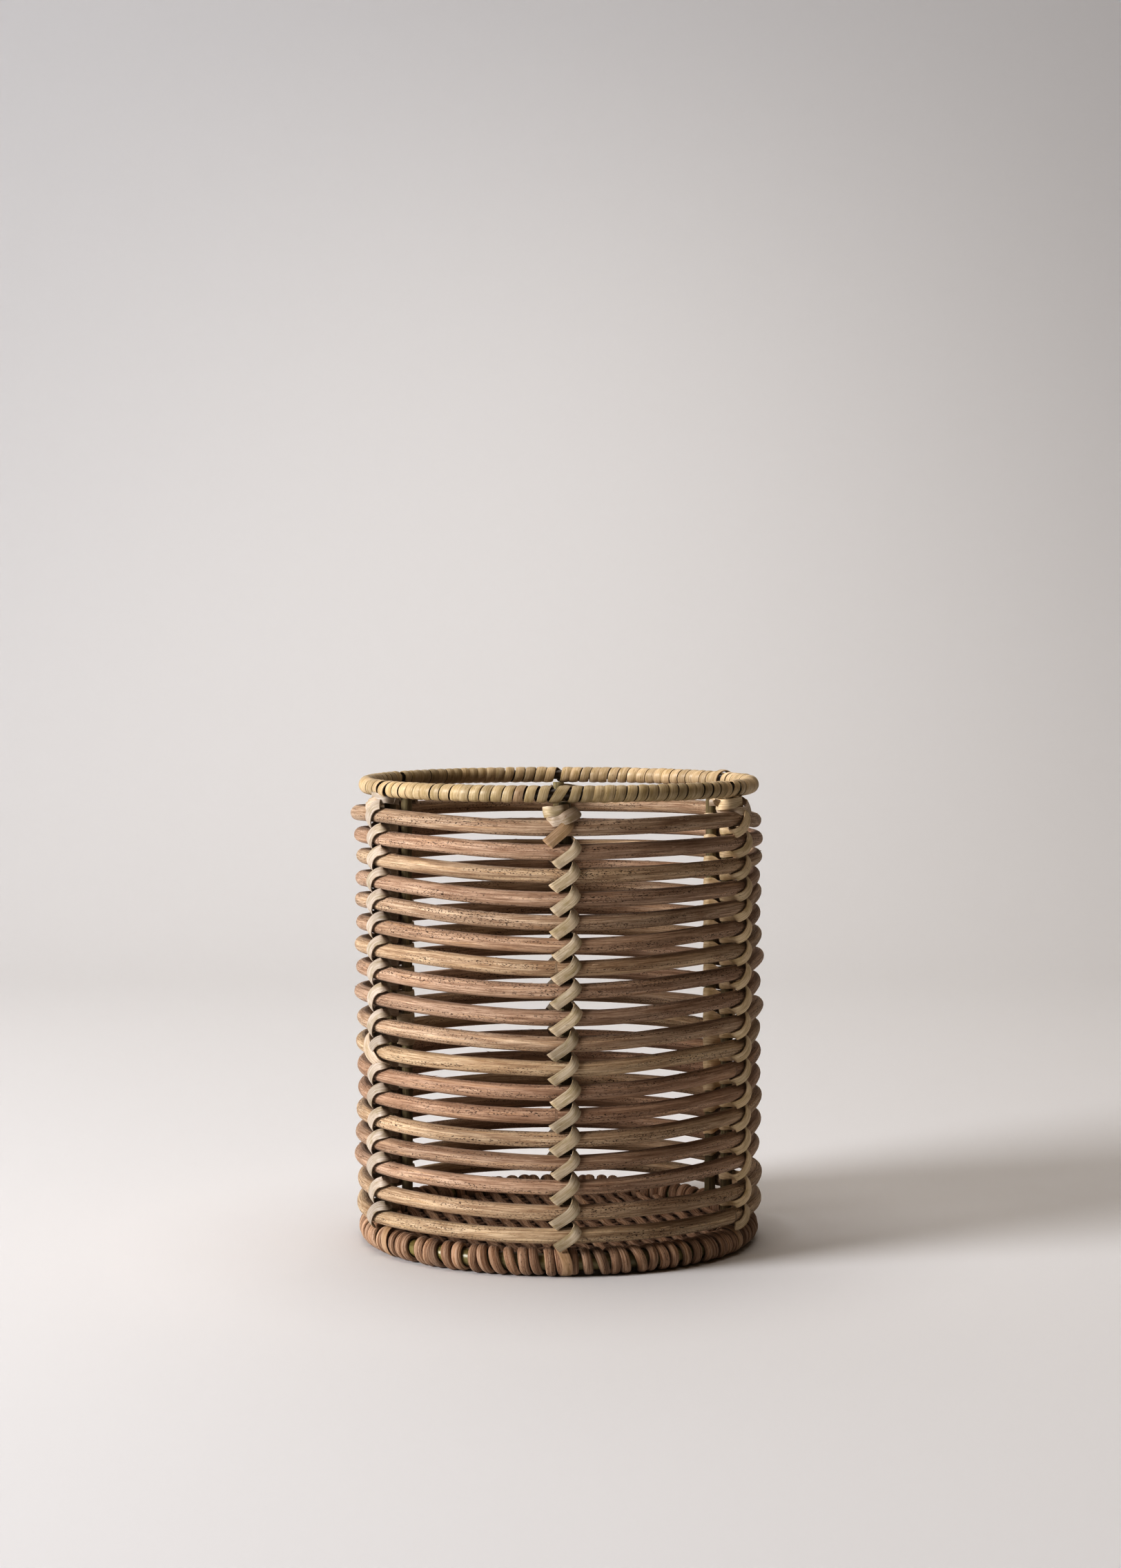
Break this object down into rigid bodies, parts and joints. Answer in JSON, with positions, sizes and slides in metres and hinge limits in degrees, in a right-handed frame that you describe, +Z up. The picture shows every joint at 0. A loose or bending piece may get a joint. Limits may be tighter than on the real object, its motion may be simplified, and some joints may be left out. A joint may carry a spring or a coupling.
{
  "type": "wastebasket",
  "caption": "Open-weave round rattan wastebasket: rod hoops lashed to inner stakes, a cane-wrapped rim and a reed-wrapped base ring around a woven floor.",
  "frame": {"origin": "on the basket's axis, at the height of the surface it stands on", "axes": "+Z up along the axis; -Y is the front, where one stake stands; +X is right seen from the front"},
  "size_m": [0.2466, 0.2518, 0.2849],
  "materials": {
    "rattan_rod": "raw matt rattan core, fine lengthwise grain with dark pores",
    "binding_cane": "satin cane skin, pale cream to olive",
    "base_reed": "matt reddish-brown half-round reed, coarse fibres",
    "stake": "matt grey-green rattan",
    "ring_core": "smooth glossy olive-green rattan skin"
  },
  "bodies": {
    "root": {"hoop_01": "rattan_rod", "hoop_02": "rattan_rod", "hoop_03": "rattan_rod", "hoop_04": "rattan_rod", "hoop_05": "rattan_rod", "hoop_06": "rattan_rod", "hoop_07": "rattan_rod", "hoop_08": "rattan_rod", "hoop_09": "rattan_rod", "hoop_10": "rattan_rod", "hoop_11": "rattan_rod", "hoop_12": "rattan_rod", "hoop_13": "rattan_rod", "hoop_14": "rattan_rod", "hoop_15": "rattan_rod", "hoop_16": "rattan_rod", "hoop_17": "rattan_rod", "hoop_18": "rattan_rod", "stake_1": "stake", "stake_2": "stake", "stake_3": "stake", "stake_4": "stake", "stake_5": "stake", "stake_6": "stake", "lashing_1": "binding_cane", "lashing_2": "binding_cane", "lashing_3": "binding_cane", "lashing_4": "binding_cane", "lashing_5": "binding_cane", "lashing_6": "binding_cane", "rim_core": "ring_core", "rim_wrap_1": "binding_cane", "rim_wrap_2": "binding_cane", "rim_wrap_3": "binding_cane", "rim_wrap_4": "binding_cane", "rim_wrap_5": "binding_cane", "rim_wrap_6": "binding_cane", "rim_tie_1": "binding_cane", "rim_tie_2": "binding_cane", "rim_tie_3": "binding_cane", "rim_tie_4": "binding_cane", "rim_tie_5": "binding_cane", "rim_tie_6": "binding_cane", "base_core": "ring_core", "base_wrap_1": "base_reed", "base_wrap_2": "base_reed", "base_wrap_3": "base_reed", "base_wrap_4": "base_reed", "base_wrap_5": "base_reed", "base_wrap_6": "base_reed", "base_tie_1": "binding_cane", "base_tie_2": "binding_cane", "base_tie_3": "binding_cane", "base_tie_4": "binding_cane", "base_tie_5": "binding_cane", "base_tie_6": "binding_cane", "floor_weft": "base_reed", "floor_warp": "base_reed"}
  },
  "joints": []
}
